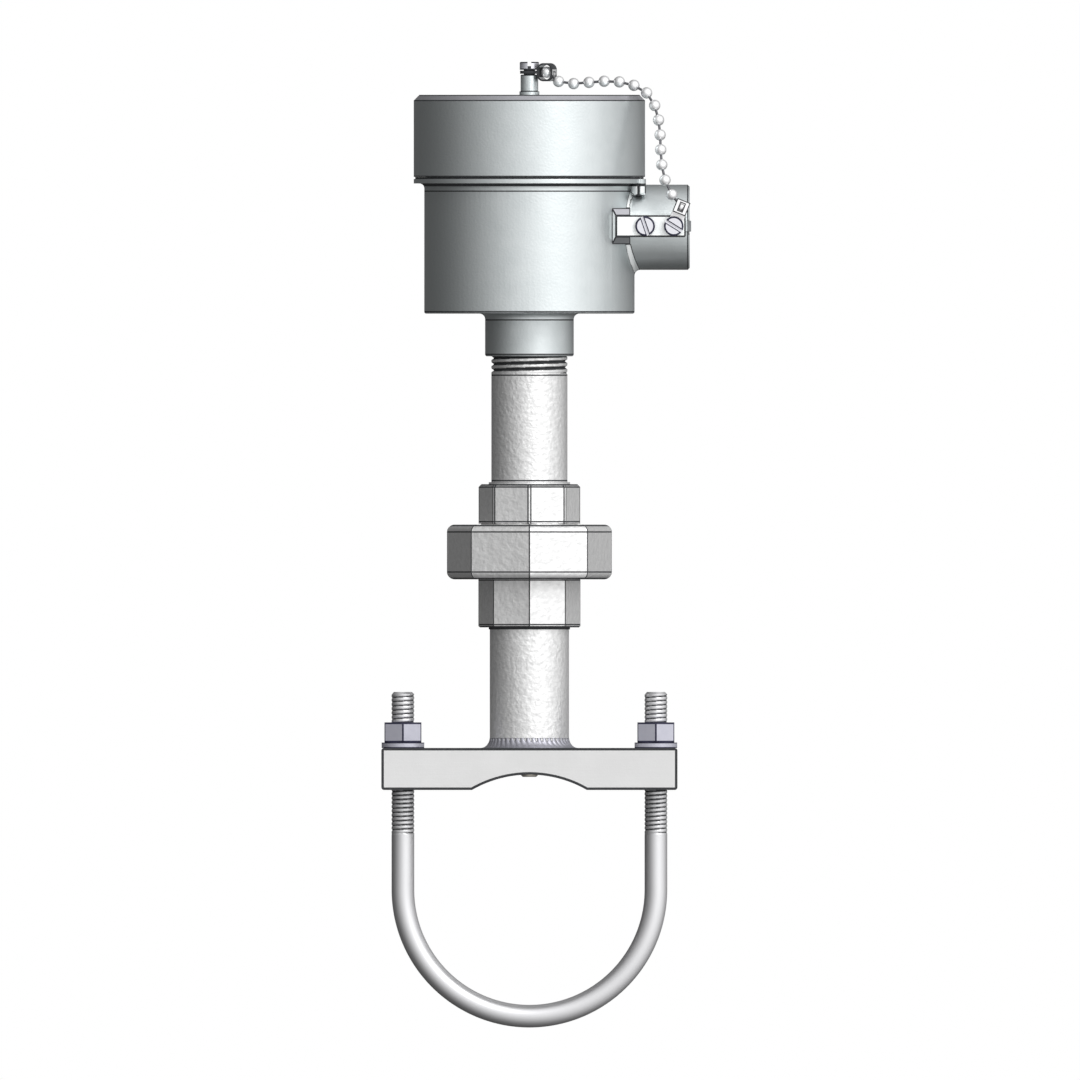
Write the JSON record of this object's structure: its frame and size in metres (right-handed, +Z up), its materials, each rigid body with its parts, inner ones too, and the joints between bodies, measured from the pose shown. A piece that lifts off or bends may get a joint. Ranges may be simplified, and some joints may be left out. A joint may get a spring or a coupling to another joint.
{
  "type": "surface resistance thermometer",
  "caption": "Round connection head on a union pipe neck, welded to a saddle bar that a U-bolt clamps round a line, with a spring-loaded sensor that touches the line.",
  "frame": {"origin": "on the axis of the clamped line, in the middle of the saddle bar's depth", "axes": "+Z up the neck to the head, +X to the conduit entry, +Y along the clamped line, away from the earth pad"},
  "size_m": [0.109, 0.0814, 0.3398],
  "materials": {
    "cast_alloy": "sand-cast, fine grain, grey lacquer",
    "bar_steel": "pale rolled flat bar",
    "weld_steel": "rippled weld",
    "lower_pipe_steel": "galvanised pipe",
    "upper_pipe_steel": "galvanised pipe",
    "union_steel": "satin machined",
    "zinc_steel": "zinc plated",
    "bolt_steel": "zinc plated, rolled thread",
    "screw_steel": "bright stainless",
    "chain_steel": "polished",
    "spring_steel": "spring wire",
    "sheath_steel": "drawn stainless",
    "tip_silver": "soldered tip",
    "terminal_brass": "nickel-free brass",
    "lead_wire": "copper wire",
    "ceramic": "unglazed ceramic",
    "seal_rubber": "matt black",
    "seal_fibre": "graphite fibre sheet"
  },
  "bodies": {
    "clamp_base": {"saddle_bar": "bar_steel", "weld_bead": "weld_steel", "lower_nipple": "lower_pipe_steel", "union_lower_tail": "union_steel", "washer_left": "zinc_steel", "washer_right": "zinc_steel"},
    "bolt": {"u_bolt": "bolt_steel"},
    "left_nut": {"nut_left": "zinc_steel"},
    "right_nut": {"nut_right": "zinc_steel"},
    "seal": {"union_seal": "seal_fibre"},
    "coupling_nut": {"union_nut": "union_steel"},
    "head": {"head_body": "cast_alloy", "union_upper_tail": "union_steel", "upper_nipple": "upper_pipe_steel", "cover_seal": "seal_rubber", "cover_lock_screw": "screw_steel", "earth_screw": "screw_steel", "chain_anchor_screw": "screw_steel", "chain_lower_clamp": "chain_steel", "bead_chain": "chain_steel", "inner_earth_screw": "screw_steel", "insert_screws": "screw_steel", "insert_springs": "spring_steel"},
    "chain_end": {"chain_upper_link": "chain_steel"},
    "cover": {"head_cover": "cast_alloy", "cover_chain_screw": "screw_steel"},
    "insert": {"insert_plate": "sheath_steel", "terminal_block": "ceramic", "terminal_clamps": "terminal_brass", "terminal_screws": "terminal_brass", "sensor_leads": "lead_wire", "sheath_ferrule": "sheath_steel", "sensor_sheath": "sheath_steel", "sensor_tip": "tip_silver"}
  },
  "joints": [
    {"name": "bolt_slide", "type": "slide", "parent": "clamp_base", "child": "bolt", "axis": [0, 0, 1], "range_m": [-0.01, 0]},
    {"name": "left_nut_turn", "type": "hinge", "parent": "clamp_base", "child": "left_nut", "pos_m": [-0.0445, 0, 0.0554], "axis": [0, 0, 1], "range_deg": [-5, 2890]},
    {"name": "right_nut_turn", "type": "hinge", "parent": "clamp_base", "child": "right_nut", "pos_m": [0.0445, 0, 0.0554], "axis": [0, 0, 1], "range_deg": [-5, 2890]},
    {"name": "union_lift", "type": "slide", "parent": "clamp_base", "child": "seal", "axis": [0, 0, 1], "range_m": [0, 0.006]},
    {"name": "union_nut_turn", "type": "hinge", "parent": "seal", "child": "coupling_nut", "pos_m": [0, 0, 0.119], "axis": [0, 0, 1], "range_deg": [-5, 1085]},
    {"name": "head_swivel", "type": "hinge", "parent": "seal", "child": "head", "pos_m": [0, 0, 0.119], "axis": [0, 0, 1], "continuous": true},
    {"name": "cover_lift", "type": "slide", "parent": "head", "child": "chain_end", "axis": [0, 0, 1], "range_m": [0, 0.009], "deforming": ["bead_chain"]},
    {"name": "cover_turn", "type": "hinge", "parent": "chain_end", "child": "cover", "pos_m": [0, 0, 0.265], "axis": [0, 0, 1], "range_deg": [-5, 2165]},
    {"name": "insert_press", "type": "slide", "parent": "head", "child": "insert", "axis": [0, 0, 1], "range_m": [0, 0.004], "stiffness_N_per_m": 1500, "springref_m": -0.008, "deforming": ["insert_springs"]}
  ],
  "couplings": [
    {"joint": "left_nut_turn", "follows": "bolt_slide", "rad_per_m": -5026.5},
    {"joint": "right_nut_turn", "follows": "bolt_slide", "rad_per_m": -5026.5},
    {"joint": "union_nut_turn", "follows": "union_lift", "rad_per_m": 3141.6},
    {"joint": "cover_turn", "follows": "cover_lift", "rad_per_m": 4188.8}
  ]
}
